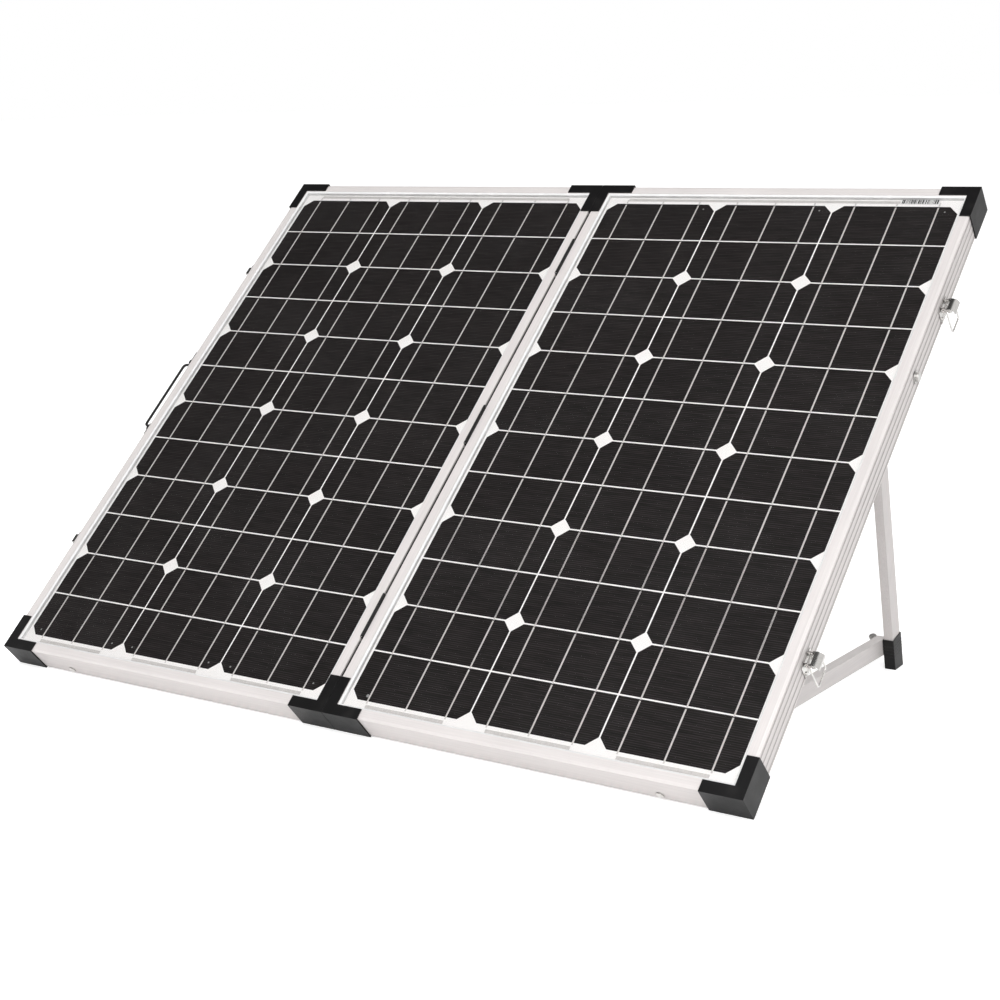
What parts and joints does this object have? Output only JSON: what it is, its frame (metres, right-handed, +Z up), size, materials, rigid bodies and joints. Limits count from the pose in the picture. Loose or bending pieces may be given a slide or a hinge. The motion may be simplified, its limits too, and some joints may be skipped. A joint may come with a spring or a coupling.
{
  "type": "folding solar panel kit",
  "caption": "Folding two-panel portable solar kit, open on rear legs, with latches, carry handle, junction boxes and charge controller.",
  "frame": {"origin": "bottom centre of the open kit's bounding box: on the ground, on the fold plane, midway between the lower front edge and the upper rear edge", "axes": "+X to the right seen from the front, along both panels' widths; +Y towards the back (the glass faces -Y and up); +Z up"},
  "size_m": [1.056, 0.6624, 0.5642],
  "materials": {
    "circuit_board": "green solder mask",
    "box_plastic": "moulded black",
    "window_plastic": "clear acrylic",
    "black_moulding": "fine-textured black",
    "handle_plastic": "black grip",
    "hinge_coating": "black coated steel",
    "plated_steel": "zinc plated",
    "cable_jacket": "black",
    "stainless": "polished stainless",
    "white_backsheet": "white film",
    "leg_aluminium": "satin silver anodised",
    "solar_cells": "near-black silicon with fine grid lines",
    "cast_keys": "as cast",
    "clear_film": "clear",
    "solar_glass": "low-iron, lightly textured",
    "terminals": "moulded dark grey",
    "frame_aluminium": "satin silver anodised",
    "tinned_ribbon": "tinned copper",
    "button_rubber": "grey silicone"
  },
  "bodies": {
    "left_panel": {"controller_board": "circuit_board", "controller_case": "box_plastic", "controller_cover": "box_plastic", "controller_window": "window_plastic", "handle_brackets": "black_moulding", "hinge_left_leaves": "hinge_coating", "hinge_pins": "plated_steel", "junction_cable": "cable_jacket", "latch_catches": "stainless", "left_backsheet": "white_backsheet", "left_brace_bracket": "plated_steel", "left_brace_pin": "plated_steel", "left_cells": "solar_cells", "left_corner_caps": "black_moulding", "left_corner_keys": "cast_keys", "left_encapsulant": "clear_film", "left_glass": "solar_glass", "left_junction_box": "box_plastic", "left_junction_lid": "box_plastic", "left_junction_terminals": "terminals", "left_leg_bolt": "plated_steel", "left_link_cable": "cable_jacket", "left_long_rails": "frame_aluminium", "left_ribbons": "tinned_ribbon", "left_short_rails": "frame_aluminium", "output_lead": "cable_jacket"},
    "right_panel": {"hinge_right_leaves": "hinge_coating", "latch_bases": "stainless", "latch_pins": "stainless", "right_backsheet": "white_backsheet", "right_brace_bracket": "plated_steel", "right_brace_pin": "plated_steel", "right_cells": "solar_cells", "right_corner_caps": "black_moulding", "right_corner_keys": "cast_keys", "right_encapsulant": "clear_film", "right_glass": "solar_glass", "right_junction_box": "box_plastic", "right_junction_lid": "box_plastic", "right_junction_terminals": "terminals", "right_leg_bolt": "plated_steel", "right_link_cable": "cable_jacket", "right_long_rails": "frame_aluminium", "right_ribbons": "tinned_ribbon", "right_short_rails": "frame_aluminium"},
    "left_leg": {"left_leg": "leg_aluminium", "left_leg_foot": "black_moulding"},
    "right_leg": {"right_leg": "leg_aluminium", "right_leg_foot": "black_moulding"},
    "left_brace": {"left_brace": "leg_aluminium"},
    "right_brace": {"right_brace": "leg_aluminium"},
    "left_wing_screw": {"left_wing_screw": "plated_steel"},
    "right_wing_screw": {"right_wing_screw": "plated_steel"},
    "lower_latch_lever": {"lower_latch_lever": "stainless"},
    "upper_latch_lever": {"upper_latch_lever": "stainless"},
    "lower_latch_bail": {"lower_latch_bail": "stainless"},
    "upper_latch_bail": {"upper_latch_bail": "stainless"},
    "handle_grip": {"handle_grip": "handle_plastic"},
    "menu_button": {"menu_button": "button_rubber"},
    "set_button": {"set_button": "button_rubber"}
  },
  "joints": [
    {"name": "panel_fold", "type": "hinge", "parent": "left_panel", "child": "right_panel", "pos_m": [0, -0.01234, 0.29682], "axis": [0, -0.766, -0.6428], "range_deg": [0, 180]},
    {"name": "left_leg_fold", "type": "hinge", "parent": "left_panel", "child": "left_leg", "pos_m": [-0.46, 0.10764, 0.36852], "axis": [-1, 0, 0], "range_deg": [0, 63]},
    {"name": "left_brace_fold", "type": "hinge", "parent": "left_panel", "child": "left_brace", "pos_m": [-0.44655, -0.27002, 0.05162], "axis": [1, 0, 0], "range_deg": [0, 43.03]},
    {"name": "left_wing_turn", "type": "hinge", "parent": "left_brace", "child": "left_wing_screw", "pos_m": [-0.44655, 0.18638, 0.02749], "axis": [-1, 0, 0], "continuous": true},
    {"name": "right_leg_fold", "type": "hinge", "parent": "right_panel", "child": "right_leg", "pos_m": [0.46, 0.10764, 0.36852], "axis": [-1, 0, 0], "range_deg": [0, 63]},
    {"name": "right_brace_fold", "type": "hinge", "parent": "right_panel", "child": "right_brace", "pos_m": [0.44655, -0.27002, 0.05162], "axis": [1, 0, 0], "range_deg": [0, 43.03]},
    {"name": "right_wing_turn", "type": "hinge", "parent": "right_brace", "child": "right_wing_screw", "pos_m": [0.44655, 0.18638, 0.02749], "axis": [1, 0, 0], "continuous": true},
    {"name": "lower_latch_close", "type": "hinge", "parent": "right_panel", "child": "lower_latch_lever", "pos_m": [0.5146, -0.1857, 0.12694], "axis": [0, 0.766, 0.6428], "range_deg": [0, 78]},
    {"name": "lower_bail_swing", "type": "hinge", "parent": "lower_latch_lever", "child": "lower_latch_bail", "pos_m": [0.5196, -0.18532, 0.12648], "axis": [0, -0.766, -0.6428], "range_deg": [0, 256.1]},
    {"name": "upper_latch_close", "type": "hinge", "parent": "right_panel", "child": "upper_latch_lever", "pos_m": [0.5146, 0.18583, 0.43869], "axis": [0, 0.766, 0.6428], "range_deg": [0, 78]},
    {"name": "upper_bail_swing", "type": "hinge", "parent": "upper_latch_lever", "child": "upper_latch_bail", "pos_m": [0.5196, 0.18621, 0.43823], "axis": [0, -0.766, -0.6428], "range_deg": [0, 256.1]},
    {"name": "handle_swing", "type": "hinge", "parent": "left_panel", "child": "handle_grip", "pos_m": [-0.515, 0.00149, 0.29511], "axis": [0, 0.766, 0.6428], "range_deg": [-80, 80]},
    {"name": "menu_press", "type": "slide", "parent": "left_panel", "child": "menu_button", "axis": [0, -0.6428, 0.766], "range_m": [0, 0.001]},
    {"name": "set_press", "type": "slide", "parent": "left_panel", "child": "set_button", "axis": [0, -0.6428, 0.766], "range_m": [0, 0.001]}
  ],
  "couplings": [
    {"joint": "left_brace_fold", "follows": "left_leg_fold", "ratio": 0.68297},
    {"joint": "right_brace_fold", "follows": "right_leg_fold", "ratio": 0.68297},
    {"joint": "lower_bail_swing", "follows": "lower_latch_close", "ratio": 3.2833},
    {"joint": "upper_bail_swing", "follows": "upper_latch_close", "ratio": 3.2833}
  ]
}
